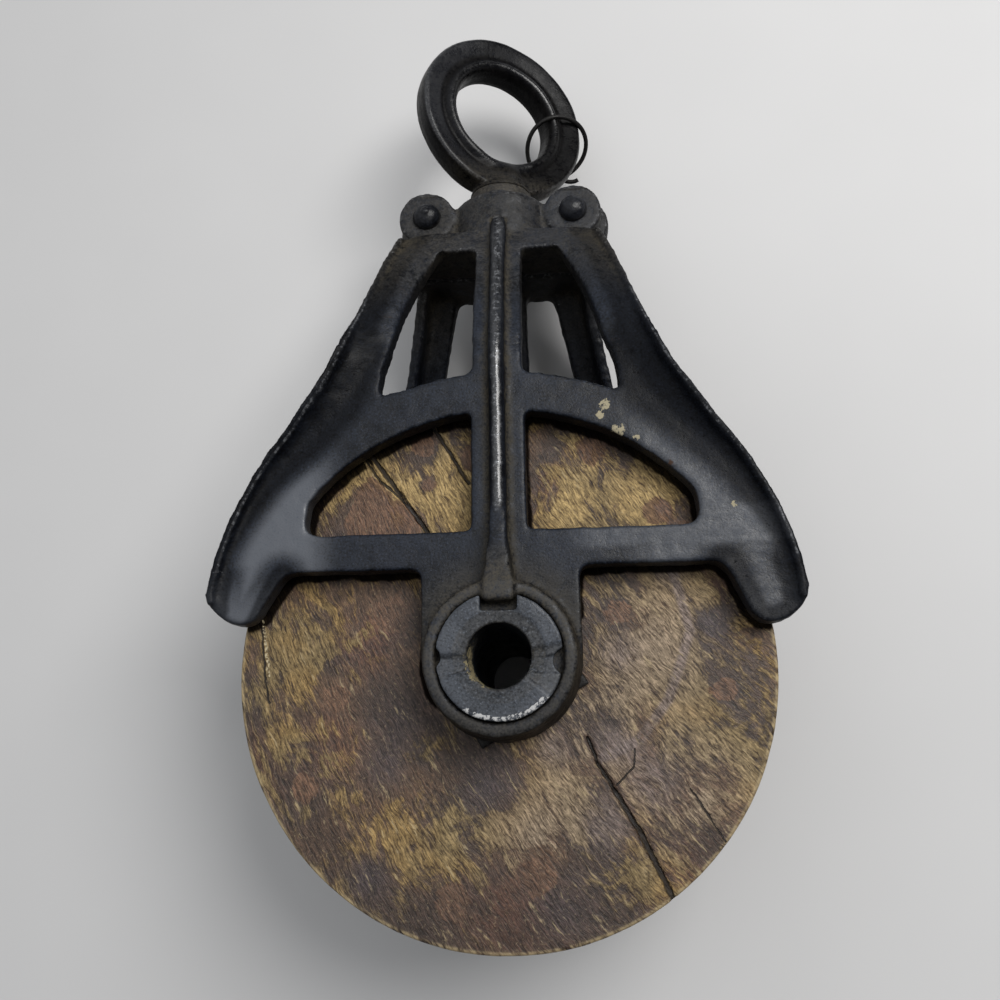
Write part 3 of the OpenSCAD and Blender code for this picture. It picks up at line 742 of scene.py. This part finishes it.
def weathered_wood(name):
    r = Recipe(name)
    x, y, z = r.add("ShaderNodeSeparateXYZ", {0: r.mm}).outputs
    grain = r.add("ShaderNodeVectorRotate", {
        "Vector": r.mm, "Angle": r.math("MULTIPLY_ADD", x, GRAIN_LEAN, GRAIN_TURN)},
        rotation_type="Z_AXIS").outputs[0]
    sway = r.math("MULTIPLY", r.math("SUBTRACT", r.noise(9, 3, 0.5), 0.5), 3.0)
    sideways = r.add("ShaderNodeCombineXYZ", {1: sway}).outputs[0]
    grain = r.add("ShaderNodeVectorMath", {0: grain, 1: sideways}, operation="ADD").outputs[0]
    strokes = r.noise(1.4, 4, 0.68, 0.35, r.place(grain, scale=(0.2, 1.0, 0.5)))
    fibres = r.noise(0.5, 3, 0.7, 0.45, r.place(grain, scale=(0.17, 1.0, 0.6)))
    grit = r.noise(0.75, 2, 0.6)
    patches = r.noise(11, 6, 0.7, 1.2, r.place(grain, scale=(0.62, 1.0, 1.0)))
    broad = r.noise(20, 3, 0.5, 0.4)
    raised = r.math("MULTIPLY_ADD", strokes, 0.28, r.math("MULTIPLY", patches, 0.62))
    raised = r.math("MULTIPLY_ADD", fibres, 0.1, raised)
    raised = r.math("MULTIPLY_ADD", r.mark("tan"), 0.09, raised)
    raised = r.math("MULTIPLY_ADD", r.mark("gold"), 0.04, raised)
    raised = r.math("MULTIPLY_ADD", r.mark("stain"), -0.14, raised)
    raised = r.math("MULTIPLY_ADD", r.mark("dark"), -0.1, raised)
    raised = r.math("MULTIPLY_ADD", r.mark("bare"), -0.16, raised)
    tan = r.step(raised, 0.47, 0.57)
    ground = r.blend(r.step(broad, 0.4, 0.62), UMBER, BROWN)
    ground = r.blend(r.math("MULTIPLY", r.mark("red"), r.step(patches, 0.3, 0.6)), ground,
                     RED_BROWN)
    top = r.blend(r.step(broad, 0.42, 0.6), OLIVE, OCHRE)
    top = r.blend(r.mark("gold"), top, GOLD)
    top = r.blend(r.mark("grey"), top, GREY_TAN)
    wood = r.blend(tan, ground, top)
    stain = r.math("MULTIPLY", r.mark("stain"), r.step(patches, 0.3, 0.5, 0.4, 0.85))
    wood = r.blend(stain, wood, PLUM)
    wood = r.blend(r.math("MULTIPLY", r.mark("mauve"), r.step(strokes, 0.3, 0.6, 0.3, 0.8)),
                   wood, MAUVE)
    bare = r.math("MULTIPLY_ADD", r.mark("bare"), 0.8, r.math("MULTIPLY", patches, 1.6))
    bare = r.step(r.math("MULTIPLY_ADD", strokes, -0.3, bare), 0.94, 1.03)
    wood = r.blend(r.math("MULTIPLY", bare, 0.85), wood, CHESTNUT)
    wood = r.blend(r.math("MULTIPLY", r.mark("dark"), 0.7), wood, (0.03, 0.018, 0.013))
    ribbon = r.step(near_path(r, r.mm, RIBBON), 0.6, 1.9, 0.8, 0.0)
    wood = r.blend(r.math("MULTIPLY", ribbon, r.step(patches, 0.3, 0.5)), wood, MAUVE)
    wood = r.blend(r.step(strokes, 0.48, 0.32, 0.0, 0.6), wood, (0.45, 0.4, 0.38), "MULTIPLY")
    wood = r.blend(r.step(fibres, 0.5, 0.36, 0.0, 0.95), wood, (0.3, 0.25, 0.24), "MULTIPLY")
    wood = r.blend(r.step(fibres, 0.51, 0.64, 0.0, 0.8), wood, (2.0, 2.0, 2.05), "MULTIPLY")
    stand = r.mean(bare, r.step(strokes, 0.6, 0.7, 0.0, 0.5), 0.0)
    wood = r.blend(stand, wood, PALE_FIBRE)
    wood = r.blend(r.step(grit, 0.46, 0.28, 0.0, 0.5), wood, DARK_PORE)
    wood = r.blend(r.step(grit, 0.56, 0.75, 0.0, 0.2), wood, PALE_FIBRE)
    wood = r.blend(r.math("MULTIPLY", r.mark("rim"), r.step(strokes, 0.35, 0.6)), wood,
                   PALE_FIBRE)
    # Painted shadow: wood close under the front casting's edge turns near-black and loses its gloss.
    shadow_gap = r.math("MULTIPLY", r.mark("shadow_gap"), SHADOW_GAP_SPAN)
    wood = r.blend(r.step(shadow_gap, 3.3, 3.6, 0.95, 0.0), wood, (0.003, 0.0025, 0.0025))
    sideways = r.math("MULTIPLY_ADD", r.math("SUBTRACT", r.noise(3.0, 4, 0.65), 0.5), 1.6, x)
    off_face = r.math("ABSOLUTE", r.math("SUBTRACT", z, WHEEL_HALF))
    level = r.step(off_face, 1.6, 2.4, WHEEL_HALF, WHEEL_HALF + 9)
    shaken = r.add("ShaderNodeCombineXYZ", {0: sideways, 1: y, 2: level}).outputs[0]
    cream = r.step(near_path(r, shaken, CREAM_LINE), 0.2, 0.55, 1.0, 0.0)
    wood = r.blend(r.math("MULTIPLY", cream, r.step(grit, 0.44, 0.6)), wood, (0.46, 0.39, 0.25))
    crack = None
    for half, path in CRACKS:
        line = r.step(near_path(r, shaken, path), half * 0.7, half * 1.6, 1.0, 0.0)
        crack = line if crack is None else r.math("MAXIMUM", crack, line)
    wood = r.blend(r.math("MULTIPLY", crack, 0.93), wood, (0.008, 0.006, 0.005))
    height = r.math("MULTIPLY_ADD", tan, 0.3, r.math("MULTIPLY", strokes, 0.7))
    height = r.math("MULTIPLY_ADD", fibres, 0.9, r.math("MULTIPLY_ADD", grit, 0.3, height))
    height = r.math("MULTIPLY_ADD", crack, -3.0, height)
    shine = r.step(tan, 0.0, 1.0, 0.5, 0.7)
    return r.done(Base_Color=wood, Roughness=shine, Normal=r.bump(height, 0.25),
                  Specular_IOR_Level=r.step(shadow_gap, 3.3, 3.6, 0.0, 0.35))


old_wood = weathered_wood("weathered_wheel_wood")

# %% The wheel
wheel = grown("wooden_wheel", outline("section", section), turned_on_axis,
              {"Segments": 480, "Finish": old_wood})
merged(wheel.data, 0.005)
smooth(wheel.data)
points, normals = points_of(wheel.data), normals_of(wheel.data)
radius = np.hypot(points[:, 0], points[:, 1])
flat = (np.abs(points[:, 2]) > WHEEL_HALF - 0.2)
uneven = 0.14 * rough(points, 22, 11, 2) + 0.05 * rough(points, 4, 12, 2)
points += normals * (uneven * np.where(radius > 15, 1, 0))[:, None]
for half, path in CRACKS:
    for start, end in zip(path, path[1:]):
        a, b = np.array(start), np.array(end)
        share = np.clip(((points[:, :2] - a) @ (b - a)) / ((b - a) @ (b - a)), 0, 1)
        gap = np.linalg.norm(points[:, :2] - a - share[:, None] * (b - a), axis=1)
        points[:, 2] -= (half > 0.25) * 1.1 * (1 - step(gap, 0.1, 0.75)) * (points[:, 2] > 20)
put_points(wheel.data, points)
PLACES = {  # zones: centre x and y, then radius
    "tan": [(-34, 46, 16), (-10, 44, 22), (40, 44, 16), (18, 34, 14), (-58, 2, 20), (-56, -22, 14),
            (-20, -50, 16), (2, -42, 12), (14, -34, 16), (38, -6, 20), (52, -20, 20),
            (44, 10, 16), (34, -52, 14), (22, 54, 12), (30, 44, 12), (-22, 42, 14)],
    "gold": [(-34, 46, 20), (-10, 48, 24), (40, 44, 15), (18, 42, 13), (24, 58, 10)],
    "stain": [(-28, -12, 15), (-31, -26, 10), (-4, -30, 12), (-34, -52, 9), (12, -60, 14),
              (54, 8, 8), (-44, 34, 7)],
    "bare": [(-36, 46, 8), (-39, 39, 10), (-32, 39, 11), (-26, 38, 8), (-32, 34, 12),
             (-7, 56, 7), (-21, 60, 6), (-20, 49, 4), (24.7, 57, 7), (42.6, 39.4, 6),
             (48, 34, 5), (-44, -8, 8), (-52, -30, 7), (-30, 14, 9), (8, -52, 8), (-14, -58, 8),
             (56, -8, 6), (30, 12, 6)],
    "mauve": [(36, -30, 11), (28, -22, 9), (24, -40, 10), (30, 2, 8), (44, 24, 7), (12, -22, 7)],
    "red": [(-30, 42, 13), (16, 46, 12), (-62, -24, 14), (0, -62, 18), (40, -54, 14),
            (-36, 6, 14), (56, 24, 12), (-46, -20, 14), (24.7, 57, 9), (42.6, 39.4, 8)],
    "grey": [(38, 4, 30), (20, -20, 26), (46, -34, 24), (8, -44, 20)],
    "dark": [(0, -70, 30), (-26, -66, 20), (30, -68, 20), (-30, -8, 14), (-22, 12, 14),
             (50, -46, 10), (-12, -24, 10), (-46, -44, 12)]}
for name, places in PLACES.items():
    zone = sum(spot(points, (x, y), size, 1.0) for x, y, size in places)
    marked(wheel.data, name, zone)
marked(wheel.data, "rim", step(radius, 68.7, 69.5) * 0.7)
# Painted shadow under the front casting: each point's distance from the casting is stored, and beside the hub the
# shadow is taken off below and to the right.
under = np.flatnonzero((points[:, 2] > 20) & (points[:, 1] > -30))
castings = [BVHTree.FromPolygons([Vector(p) for p in points_of(piece.data)],
                                 [tuple(face.vertices) for face in piece.data.polygons])
            for piece in (front_cheek,)]
shadow_gap = np.full(len(points), SHADOW_GAP_SPAN)
for tree in castings:
    shadow_gap[under] = away_from(tree, points[under] + (0, 0.3, 0), SHADOW_GAP_SPAN)
shadow_gap += 4 * step(points[:, 0], -26, 2) * (radius < 34) * (1 - step(points[:, 1], 2, 12))
marked(wheel.data, "shadow_gap", shadow_gap / SHADOW_GAP_SPAN)
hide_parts("sheave")
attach(wheel, "wheel")

# %% [markdown]
# ## The bush and its square plates
# Only two corners of the front plate show, worn round and dark. Both plates and the tube are
# remeshed copies of their solids, rounded by smoothing.

# %% Bush and rear plate
PLATE_SLIP = math.radians(17)

for name, node, turn in (("iron_bush", "sheave_bush", PLATE_SLIP),
                         ("rear_square_plate", "rear_bush_plate", 0.0)):
    piece = cad_copy(name, node, 0.5)
    points = relaxed(points_of(piece.data), edges_of(piece.data), 2)
    cos, sin = math.cos(turn), math.sin(turn)
    points = points @ np.array([[cos, sin, 0], [-sin, cos, 0], [0, 0, 1]])
    corner = step(np.hypot(points[:, 0], points[:, 1]), 16, 21.5)
    points[:, :2] *= (1 + (0.03 if turn else 0.0) * corner)[:, None]
    put_points(piece.data, points)
    points += normals_of(piece.data) * (0.08 * rough(points, 5, 21, 3))[:, None]
    put_points(piece.data, points)
    weathered(piece.data, 5, 0.3)
    # Painted shade: both plates sit under the castings, and they are marked black all over.
    marked(piece.data, "black", np.full(len(points), 0.6))
    piece.data.materials.append(grey_iron)
    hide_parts(node)
    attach(piece, "wheel")

# %% [markdown]
# ## The swivel eye
# The eye is forged: a ring with a broad rounded outside and a crisper inner edge, which the
# hook has worn bright, running down into a stout neck. The wear carries a painted highlight on
# the upper right. The ring is turned from its section and tilted, the neck and the shank are
# turned too, and a voxel remesh melts them together.

# %% The ring and its neck
EYE_Y, EYE_TURN = 181.7, math.radians(30)
EYE_IN, EYE_OUT = 16.9, 29.1
NECK_FOOT = 152.35
BEAD_AT, GROOVE_AT, RIDGE_R = 19.2, 22.0, 28.3
RING = [(28.2, 4.75), (28.75, 4.1), (29.0, 2.6), (29.1, 0), (28.8, -2.6), (27.4, -4.4),
        (25, -5.2), (21, -5.3), (18.6, -4.8), (17.3, -3.7), (16.9, -2), (16.9, 1.8),
        (17.2, 3.3), (17.8, 4.5), (18.5, 5.1), (BEAD_AT, 5.3), (20, 5.1), (20.7, 4.55),
        (21.4, 3.95), (GROOVE_AT, 3.7), (22.8, 3.8), (24.0, 4.2), (25.6, 4.65), (27, 4.9),
        (27.6, 4.95)]

ring = grown("ring", outline("ring section", RING), turned_on_axis, {"Segments": 200})
points = points_of(ring.data)
turn = np.array([[math.cos(EYE_TURN), 0, math.sin(EYE_TURN)], [0, 1, 0],
                 [-math.sin(EYE_TURN), 0, math.cos(EYE_TURN)]])
put_points(ring.data, points @ turn.T + (0, EYE_Y, 0))
NECK = [(0, 127.4), (10.1, 127.4), (10.1, 134.0), (6.45, 134.4), (6.45, NECK_FOOT - 0.1),
        (9.9, NECK_FOOT), (9.95, NECK_FOOT + 0.9), (9.3, NECK_FOOT + 1.5),
        (8.1, NECK_FOOT + 2.4), (7.4, NECK_FOOT + 4), (6.6, NECK_FOOT + 7),
        (5.6, NECK_FOOT + 11), (0, NECK_FOOT + 12)]
neck = grown("neck", outline("neck section", NECK), turned_on_axis, {"Segments": 72})
put_points(neck.data, points_of(neck.data)[:, [0, 2, 1]])
eye_shell = bmesh.new()
for part in (ring, neck):
    eye_shell.from_mesh(merged(part.data))
    bpy.data.objects.remove(part)
eye_mesh = bpy.data.meshes.new("swivel_ring")
eye_shell.to_mesh(eye_mesh)
eye_shell.free()
eye = remeshed(placed("swivel_ring", eye_mesh), 0.36)

# %% The eye's skin
edges = edges_of(eye.data)
points = relaxed(points_of(eye.data), edges, 2)
throat = (1 - step(np.linalg.norm(points - (0, 158.5, 0), axis=1), 8, 13))[:, None]
throat *= step(points[:, 1:2], 155.2, 157.5)
for _ in range(50):
    points += throat * (relaxed(points, edges, 2) - points)
put_points(eye.data, points)
normals = normals_of(eye.data)
flat_ring = (points - (0, EYE_Y, 0)) @ turn
from_axis, level = np.hypot(flat_ring[:, 0], flat_ring[:, 1]), flat_ring[:, 2]
skin = 0.02 * rough(points, 2.4, 31) + 0.22 * rough(points, 13, 32, 2)
points += normals * skin[:, None]
put_points(eye.data, points)
stands = weathered(eye.data, 8, 0.5)
on_ring = step(points[:, 1], 153, 158)
bead = (1 - step(np.abs(from_axis - BEAD_AT), 0.4, 1.4)) * step(level, 4.4, 5.0)
ridge = (1 - step(np.abs(from_axis - RIDGE_R), 0.2, 0.6)) * step(level, 3.6, 4.3)
# The bead's bright wear is real wear from the hook, and making it strongest on the upper right adds a painted
# highlight there.
side_on = 0.35 + 0.65 * step(flat_ring[:, 0], -5, 15) * step(flat_ring[:, 1], -4, 8)
side_on *= 1 - 0.6 * step(flat_ring[:, 0], 2, 10) * (1 - step(flat_ring[:, 1], -8, 2))
marked(eye.data, "wear", on_ring * np.maximum(0.1 * bead * side_on, 0.25 * ridge))
marked(eye.data, "polish", on_ring * np.maximum(0.5 * bead * side_on, 0.4 * ridge))
# A painted sheen on the left of the ring's face.
left_face = (1 - step(flat_ring[:, 0], -14, -4)) * step(from_axis, 21.5, 24)
left_face *= step(flat_ring[:, 1], -18, -6)
marked(eye.data, "sheen", 0.35 * on_ring * left_face)
# Painted shade: the groove, the inner and outer walls and the lower right of the ring are marked black.
groove = (1 - step(np.abs(from_axis - GROOVE_AT), 0.5, 1.5)) * step(level, 2, 3)
walls = np.maximum(1 - step(from_axis, 17.4, 18.6), step(from_axis, 28.5, 28.8))
low_right = 0.75 * step(flat_ring[:, 0], 4, 14) * (1 - step(flat_ring[:, 1], 4, 16))
marked(eye.data, "black", on_ring * np.maximum.reduce([0.9 * groove, walls, low_right]))
marked(eye.data, "dust", (1 - step(points[:, 1], 153, 164)) * 0.6 + 0.08)
eye.data.materials.append(eye_iron)
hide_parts("swivel_eye")
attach(eye, "eye")

# %% The washer under it
washer = cad_copy("neck_washer", "swivel_washer", 0.35)
points = relaxed(points_of(washer.data), edges_of(washer.data), 3)
put_points(washer.data, points)
points += normals_of(washer.data) * (0.1 * rough(points, 3, 35))[:, None]
put_points(washer.data, points)
weathered(washer.data, 4, 0.2)
marked(washer.data, "dust", np.full(len(points), 0.7))
washer.data.materials.append(grey_iron)
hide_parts("swivel_washer")
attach(washer, "frame")

# %% [markdown]
# ## The rivets
# Two rivets of the same kind hold the ears together, so one tree makes both: it puts an
# instance of a rivet, a shaft with a domed head at each end, at each point it is given. They
# are then roughened as one mesh, which gives each of them a face of its own.

# %% A tree that sets a rivet on each point
def rivet_tree():
    bench, given = new_tree("rivets on points", {
        "Head radius": ("Float", 5.0), "Head height": ("Float", 3.6), "Seat": ("Float", 9.45),
        "Shaft radius": ("Float", 3.75), "Finish": ("Material", None)})
    half = bench.math("ADD", given["Seat"], 0.2)
    shaft = bench.add("GeometryNodeMeshCylinder", {
        "Vertices": 32, "Radius": bench.math("MULTIPLY", given["Shaft radius"], MM),
        "Depth": bench.math("MULTIPLY", half, 2 * MM)}).outputs[0]
    parts = [shaft]
    for way in (1, -1):
        ball = bench.add("GeometryNodeMeshUVSphere", {"Segments": 40, "Rings": 24,
                                                      "Radius": MM}).outputs[0]
        size = bench.add("ShaderNodeCombineXYZ", {0: given["Head radius"],
                                                  1: given["Head radius"],
                                                  2: given["Head height"]}).outputs[0]
        at = bench.add("ShaderNodeCombineXYZ", {
            2: bench.math("MULTIPLY", given["Seat"], way * MM)}).outputs[0]
        parts.append(bench.add("GeometryNodeTransform", {
            "Geometry": ball, "Translation": at, "Scale": size}).outputs[0])
    join = bench.add("GeometryNodeJoinGeometry")
    for part in parts:
        bench.tree.links.new(part, join.inputs[0])
    on = bench.add("GeometryNodeInstanceOnPoints", {"Points": given["Geometry"],
                                                    "Instance": join.outputs[0]})
    return ended(bench, on.outputs[0], given["Finish"])


RIVETS = [(-23.1, 141.6), (23.1, 141.6)]
rivets = grown("ear_rivets", outline("rivet places", RIVETS), rivet_tree(),
               {"Head radius": 4.4, "Head height": 3.6, "Shaft radius": 3.35,
                "Finish": dark_head})
remeshed(rivets, 0.4)
points = relaxed(points_of(rivets.data), edges_of(rivets.data), 2)
put_points(rivets.data, points)
normals = normals_of(rivets.data)
nub = spot(points, (-23.2, 141.9, 12.9), 1.6) * 0.5 * (points[:, 2] > 0)
points += normals * (nub + 0.12 * rough(points, 2.2, 41))[:, None]
put_points(rivets.data, points)
weathered(rivets.data, 5, 0.25)
marked(rivets.data, "dust", 0.35 * (1 - step(np.abs(points[:, 2]), 9.5, 11)))
rivets.data.materials.clear()
rivets.data.materials.append(dark_head)
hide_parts("left_rivet", "right_rivet")
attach(rivets, "frame")

# %% [markdown]
# ## The bent wire
# Someone once closed a piece of iron wire round the eye. It is stiff, so it keeps its shape
# and moves as one piece. Its path is a leaning loop whose two ends pass each other, and a
# tree sweeps a small circle along it.

# %% A tree that sweeps a wire along a path
def wire_tree():
    bench, given = new_tree("wire on a path", {
        "Radius": ("Float", 0.75 * MM), "Sides": ("Int", 14), "Finish": ("Material", None)})
    path = bench.add("GeometryNodeMeshToCurve", {"Mesh": given["Geometry"]}).outputs[0]
    round_ = bench.add("GeometryNodeCurvePrimitiveCircle", {
        "Resolution": given["Sides"], "Radius": given["Radius"]}).outputs[0]
    tube = bench.add("GeometryNodeCurveToMesh", {"Curve": path, "Profile Curve": round_,
                                                 "Fill Caps": True}).outputs[0]
    return ended(bench, tube, given["Finish"])


LOOP_R, LOOP_LEAN, LOOP_AT = 10.6, math.radians(38), math.radians(4)
EYE_MIDDLE = (EYE_IN + EYE_OUT) / 2
low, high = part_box("wire_loop")
loop_centre = np.array((low + high) / 2) / MM
turns = np.radians(np.linspace(-50, 328, 150))
flat_loop = np.stack([LOOP_R * np.cos(turns), LOOP_R * np.sin(turns), 0 * turns], axis=1)
flat_loop[:, 2] += 1.6 * step(np.degrees(turns), 295, 328)
flat_loop[:, :2] *= (1 + 0.015 * np.sin(3 * turns))[:, None]
flat_loop[:, :2] *= (1 + 0.3 * step(np.degrees(turns), 292, 328))[:, None]


def turned(points, axis, angle):
    c, s = math.cos(angle), math.sin(angle)
    turn = {"X": [[1, 0, 0], [0, c, -s], [0, s, c]], "Y": [[c, 0, s], [0, 1, 0], [-s, 0, c]],
            "Z": [[c, -s, 0], [s, c, 0], [0, 0, 1]]}[axis]
    return points @ np.array(turn).T


loop = turned(turned(turned(flat_loop, "X", math.pi / 2 - LOOP_LEAN), "Z", -LOOP_AT), "Y",
              EYE_TURN)
wire = grown("bent_wire", outline("wire path", [tuple(p) for p in loop + loop_centre]),
             wire_tree(), {"Radius": 0.75 * MM, "Finish": wire_black})
merged(wire.data, 0.001)
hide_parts("wire_loop")
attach(wire, "wire")

# %% [markdown]
# ## Floor and light
# The pulley lies on its back on a pale table. It rests on the edge of the rear ring and tips
# until the rear cheek touches too, so the floor is the plane through those two. One large
# soft lamp at the upper right throws the shadows to the lower left, and an even sky fills
# them. Together they light a white card to about white, so colours render as written.

# %% Floor
low = points_of(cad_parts["rear_cheek"].data)
low = low[low[:, 1] > 40]
foot = (15.3, -42.05)
slopes = (low[:, 2] - foot[1]) / (low[:, 1] - foot[0])
tilt = slopes.min()
FLOOR_SIZE = 3000.0
corners = [(x, y, foot[1] + tilt * (y - foot[0]) - 0.15)
           for x, y in ((-1, -1), (1, -1), (1, 1), (-1, 1))
           for x, y in [(x * FLOOR_SIZE, y * FLOOR_SIZE)]]
floor_mesh = bpy.data.meshes.new("table")
floor_mesh.from_pydata([[c * MM for c in p] for p in corners], [], [(0, 1, 2, 3)])
floor = placed("table", floor_mesh)
pale = Recipe("pale_table")
floor.data.materials.append(pale.done(
    Base_Color=pale.blend(pale.noise(60, 2), (0.52, 0.52, 0.525), (0.55, 0.55, 0.555)),
    Roughness=0.9))
print("the table tips by", round(math.degrees(math.atan(tilt)), 2), "degrees")

# %% Light
BRIGHTEST = Vector((-0.4, 0.25, 0.9)).normalized()
sky = bpy.data.worlds.new("even_sky")
sky.use_nodes = True
bench = Bench(sky.node_tree)
up = bench.add("ShaderNodeVectorMath", {
    0: bench.add("ShaderNodeTexCoord").outputs["Generated"], 1: BRIGHTEST},
               operation="DOT_PRODUCT").outputs[1]
glow = bench.add("ShaderNodeMapRange", {"Value": up, "From Min": 0.35, "From Max": 0.97,
                                        "To Min": 0.04, "To Max": 1.0}).outputs[0]
backdrop = sky.node_tree.nodes["Background"]
backdrop.inputs["Color"].default_value = (0.97, 0.985, 1.0, 1.0)
sky.node_tree.links.new(glow, backdrop.inputs["Strength"])
stage_set.world = sky
lamp_data = bpy.data.lights.new("soft_lamp", "AREA")
lamp_data.shape, lamp_data.size = "DISK", 0.55
lamp_data.energy = 7.0
lamp_data.color = (1.0, 0.985, 0.96)
lamp = bpy.data.objects.new("soft_lamp", lamp_data)
lamp.location = (0.38, 0.32, 0.7)
lamp.rotation_mode = "QUATERNION"
lamp.rotation_quaternion = (-lamp.location).to_track_quat("-Z", "Y")
stage_set.collection.objects.link(lamp)
stage_set.view_settings.view_transform = "Standard"
